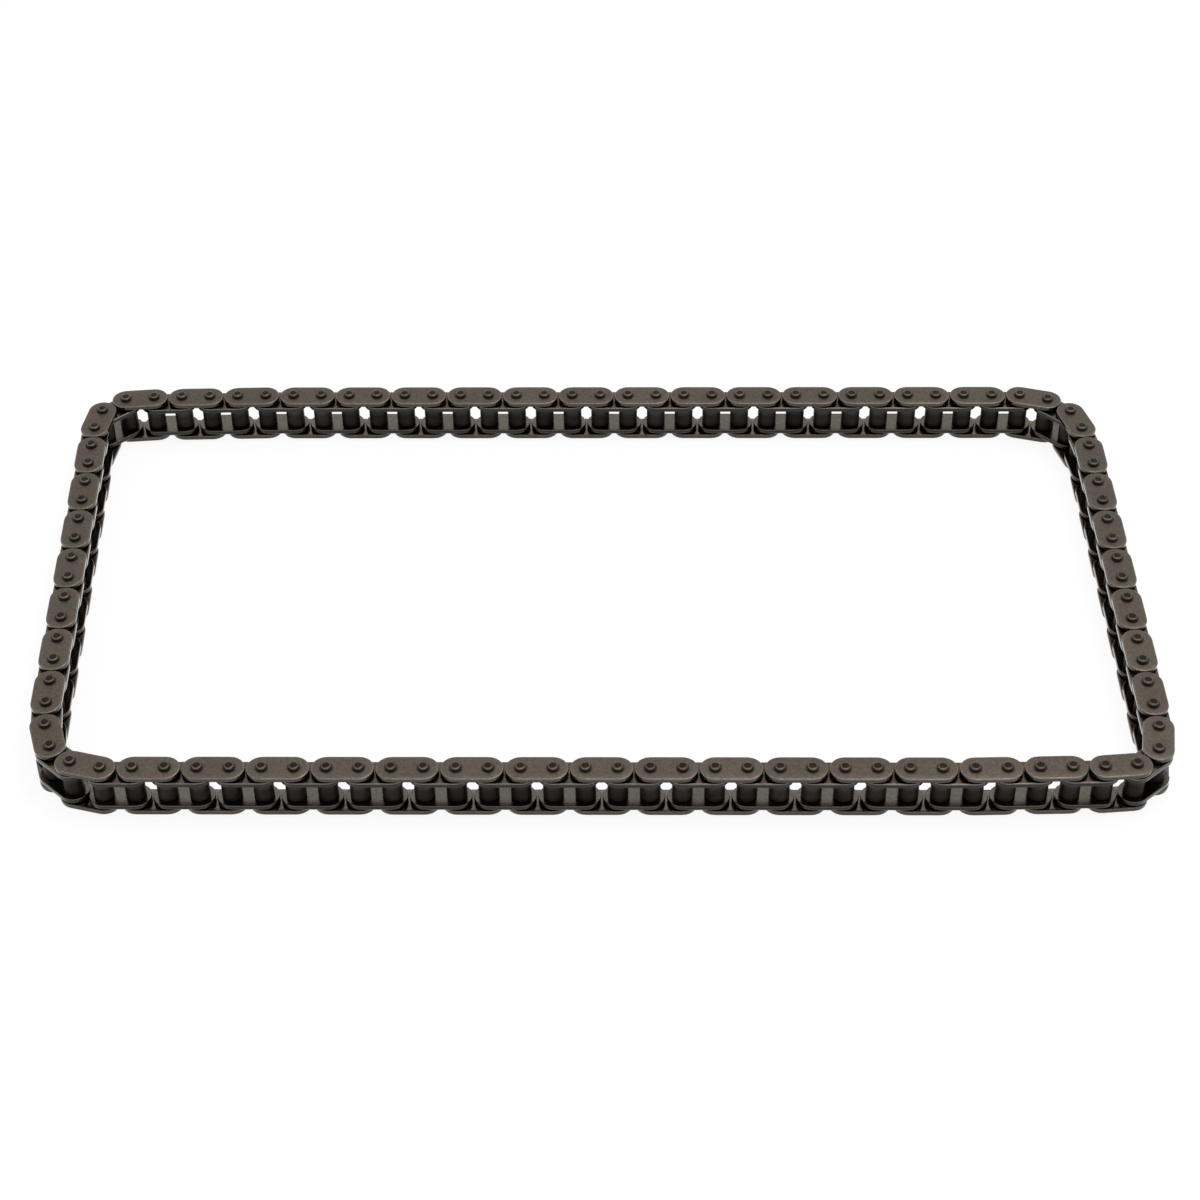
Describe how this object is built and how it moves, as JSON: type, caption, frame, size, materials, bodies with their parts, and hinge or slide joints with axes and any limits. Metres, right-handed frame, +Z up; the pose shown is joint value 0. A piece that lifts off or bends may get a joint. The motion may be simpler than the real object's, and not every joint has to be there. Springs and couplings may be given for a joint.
{
  "type": "oil pump chain",
  "caption": "Endless single-strand roller chain for an oil pump drive, laid out as a rounded rectangular loop; steel plates, riveted pins, pressed bushes, loose rollers.",
  "frame": {"origin": "under the middle of the loop, on the surface that the lower pin ends rest on", "axes": "+X along the long runs, towards the right of the picture; +Y away from the viewer; +Z up, along the pins"},
  "size_m": [0.2918, 0.1578, 0.0148],
  "materials": {
    "outer_plate_steel": "satin",
    "inner_plate_steel": "satin",
    "pin_steel": "satin",
    "bush_steel": "satin",
    "roller_steel": "satin"
  },
  "bodies": {
    "back_run": {"back_run_outer_plates": "outer_plate_steel", "back_run_pins": "pin_steel", "back_run_inner_plates": "inner_plate_steel", "back_run_bushes": "bush_steel", "back_run_rollers": "roller_steel"},
    "right_run": {"right_run_outer_plates": "outer_plate_steel", "right_run_pins": "pin_steel", "right_run_inner_plates": "inner_plate_steel", "right_run_bushes": "bush_steel", "right_run_rollers": "roller_steel"},
    "front_run": {"front_run_outer_plates": "outer_plate_steel", "front_run_pins": "pin_steel", "front_run_inner_plates": "inner_plate_steel", "front_run_bushes": "bush_steel", "front_run_rollers": "roller_steel"},
    "left_run": {"left_run_outer_plates": "outer_plate_steel", "left_run_pins": "pin_steel", "left_run_inner_plates": "inner_plate_steel", "left_run_bushes": "bush_steel", "left_run_rollers": "roller_steel"},
    "back_left_short_link": {"back_left_short_side_plates": "outer_plate_steel", "back_left_short_side_pins": "pin_steel"},
    "back_left_long_link": {"back_left_long_side_plates": "outer_plate_steel", "back_left_long_side_pins": "pin_steel"},
    "back_left_inner_link": {"back_left_inner_plates": "inner_plate_steel", "back_left_bushes": "bush_steel"},
    "back_left_roller_a": {"back_left_roller_a": "roller_steel"},
    "back_left_roller_b": {"back_left_roller_b": "roller_steel"},
    "back_right_short_link": {"back_right_short_side_plates": "outer_plate_steel", "back_right_short_side_pins": "pin_steel"},
    "back_right_long_link": {"back_right_long_side_plates": "outer_plate_steel", "back_right_long_side_pins": "pin_steel"},
    "back_right_inner_link": {"back_right_inner_plates": "inner_plate_steel", "back_right_bushes": "bush_steel"},
    "back_right_roller_a": {"back_right_roller_a": "roller_steel"},
    "back_right_roller_b": {"back_right_roller_b": "roller_steel"},
    "front_right_short_link": {"front_right_short_side_plates": "outer_plate_steel", "front_right_short_side_pins": "pin_steel"},
    "front_right_long_link": {"front_right_long_side_plates": "outer_plate_steel", "front_right_long_side_pins": "pin_steel"},
    "front_right_inner_link": {"front_right_inner_plates": "inner_plate_steel", "front_right_bushes": "bush_steel"},
    "front_right_roller_a": {"front_right_roller_a": "roller_steel"},
    "front_right_roller_b": {"front_right_roller_b": "roller_steel"},
    "front_left_short_link": {"front_left_short_side_plates": "outer_plate_steel", "front_left_short_side_pins": "pin_steel"},
    "front_left_long_link": {"front_left_long_side_plates": "outer_plate_steel", "front_left_long_side_pins": "pin_steel"},
    "front_left_inner_link": {"front_left_inner_plates": "inner_plate_steel", "front_left_bushes": "bush_steel"},
    "front_left_roller_a": {"front_left_roller_a": "roller_steel"},
    "front_left_roller_b": {"front_left_roller_b": "roller_steel"}
  },
  "joints": [
    {"name": "front_left_pivot_1", "type": "hinge", "parent": "front_run", "child": "front_left_long_link", "pos_m": [-0.12107, -0.07491, 0.0074], "axis": [0, 0, 1], "range_deg": [-20, 20]},
    {"name": "front_left_pivot_2", "type": "hinge", "parent": "front_left_long_link", "child": "front_left_inner_link", "pos_m": [-0.1288, -0.07284, 0.0074], "axis": [0, 0, 1], "range_deg": [-20, 20]},
    {"name": "front_left_pivot_3", "type": "hinge", "parent": "front_left_inner_link", "child": "front_left_short_link", "pos_m": [-0.1347, -0.06743, 0.0074], "axis": [0, 0, 1], "range_deg": [-20, 20]},
    {"name": "front_left_pivot_4", "type": "hinge", "parent": "front_left_short_link", "child": "left_run", "pos_m": [-0.13703, -0.05978, 0.0074], "axis": [0, 0, 1], "range_deg": [-20, 20]},
    {"name": "back_left_pivot_1", "type": "hinge", "parent": "left_run", "child": "back_left_short_link", "pos_m": [-0.14199, 0.06008, 0.0074], "axis": [0, 0, 1], "range_deg": [-20, 20]},
    {"name": "back_left_pivot_2", "type": "hinge", "parent": "back_left_short_link", "child": "back_left_inner_link", "pos_m": [-0.14087, 0.068, 0.0074], "axis": [0, 0, 1], "range_deg": [-20, 20]},
    {"name": "back_left_pivot_3", "type": "hinge", "parent": "back_left_inner_link", "child": "back_left_long_link", "pos_m": [-0.13488, 0.0733, 0.0074], "axis": [0, 0, 1], "range_deg": [-20, 20]},
    {"name": "front_right_pivot_4", "type": "hinge", "parent": "front_run", "child": "front_right_long_link", "pos_m": [0.12692, -0.07407, 0.0074], "axis": [0, 0, 1], "range_deg": [-20, 20]},
    {"name": "front_right_pivot_3", "type": "hinge", "parent": "front_right_long_link", "child": "front_right_inner_link", "pos_m": [0.13488, -0.0733, 0.0074], "axis": [0, 0, 1], "range_deg": [-20, 20]},
    {"name": "front_right_pivot_2", "type": "hinge", "parent": "front_right_inner_link", "child": "front_right_short_link", "pos_m": [0.14087, -0.068, 0.0074], "axis": [0, 0, 1], "range_deg": [-20, 20]},
    {"name": "front_right_pivot_1", "type": "hinge", "parent": "front_right_short_link", "child": "right_run", "pos_m": [0.14199, -0.06008, 0.0074], "axis": [0, 0, 1], "range_deg": [-20, 20]},
    {"name": "back_right_pivot_4", "type": "hinge", "parent": "right_run", "child": "back_right_short_link", "pos_m": [0.13703, 0.05978, 0.0074], "axis": [0, 0, 1], "range_deg": [-20, 20]},
    {"name": "back_right_pivot_3", "type": "hinge", "parent": "back_right_short_link", "child": "back_right_inner_link", "pos_m": [0.1347, 0.06743, 0.0074], "axis": [0, 0, 1], "range_deg": [-20, 20]},
    {"name": "back_right_pivot_2", "type": "hinge", "parent": "back_right_inner_link", "child": "back_right_long_link", "pos_m": [0.1288, 0.07284, 0.0074], "axis": [0, 0, 1], "range_deg": [-20, 20]},
    {"name": "back_right_pivot_1", "type": "hinge", "parent": "back_right_long_link", "child": "back_run", "pos_m": [0.12107, 0.07491, 0.0074], "axis": [0, 0, 1], "range_deg": [-20, 20]},
    {"name": "back_left_roller_a_spin", "type": "hinge", "parent": "back_left_inner_link", "child": "back_left_roller_a", "pos_m": [-0.14087, 0.068, 0.0074], "axis": [0, 0, 1], "continuous": true},
    {"name": "back_left_roller_b_spin", "type": "hinge", "parent": "back_left_inner_link", "child": "back_left_roller_b", "pos_m": [-0.13488, 0.0733, 0.0074], "axis": [0, 0, 1], "continuous": true},
    {"name": "back_right_roller_a_spin", "type": "hinge", "parent": "back_right_inner_link", "child": "back_right_roller_a", "pos_m": [0.1288, 0.07284, 0.0074], "axis": [0, 0, 1], "continuous": true},
    {"name": "back_right_roller_b_spin", "type": "hinge", "parent": "back_right_inner_link", "child": "back_right_roller_b", "pos_m": [0.1347, 0.06743, 0.0074], "axis": [0, 0, 1], "continuous": true},
    {"name": "front_right_roller_a_spin", "type": "hinge", "parent": "front_right_inner_link", "child": "front_right_roller_a", "pos_m": [0.14087, -0.068, 0.0074], "axis": [0, 0, 1], "continuous": true},
    {"name": "front_right_roller_b_spin", "type": "hinge", "parent": "front_right_inner_link", "child": "front_right_roller_b", "pos_m": [0.13488, -0.0733, 0.0074], "axis": [0, 0, 1], "continuous": true},
    {"name": "front_left_roller_a_spin", "type": "hinge", "parent": "front_left_inner_link", "child": "front_left_roller_a", "pos_m": [-0.1288, -0.07284, 0.0074], "axis": [0, 0, 1], "continuous": true},
    {"name": "front_left_roller_b_spin", "type": "hinge", "parent": "front_left_inner_link", "child": "front_left_roller_b", "pos_m": [-0.1347, -0.06743, 0.0074], "axis": [0, 0, 1], "continuous": true}
  ],
  "couplings": [
    {"joint": "front_left_pivot_1", "follows": "front_right_pivot_4", "ratio": 1},
    {"joint": "back_right_pivot_1", "follows": "front_right_pivot_4", "ratio": -1},
    {"joint": "front_left_pivot_2", "follows": "front_right_pivot_3", "ratio": 1},
    {"joint": "back_right_pivot_2", "follows": "front_right_pivot_3", "ratio": -1},
    {"joint": "back_left_pivot_3", "follows": "front_right_pivot_3", "ratio": -1},
    {"joint": "front_left_pivot_3", "follows": "front_right_pivot_2", "ratio": 1},
    {"joint": "back_right_pivot_3", "follows": "front_right_pivot_2", "ratio": -1},
    {"joint": "back_left_pivot_2", "follows": "front_right_pivot_2", "ratio": -1},
    {"joint": "front_left_pivot_4", "follows": "front_right_pivot_1", "ratio": 1},
    {"joint": "back_right_pivot_4", "follows": "front_right_pivot_1", "ratio": -1},
    {"joint": "back_left_pivot_1", "follows": "front_right_pivot_1", "ratio": -1}
  ]
}
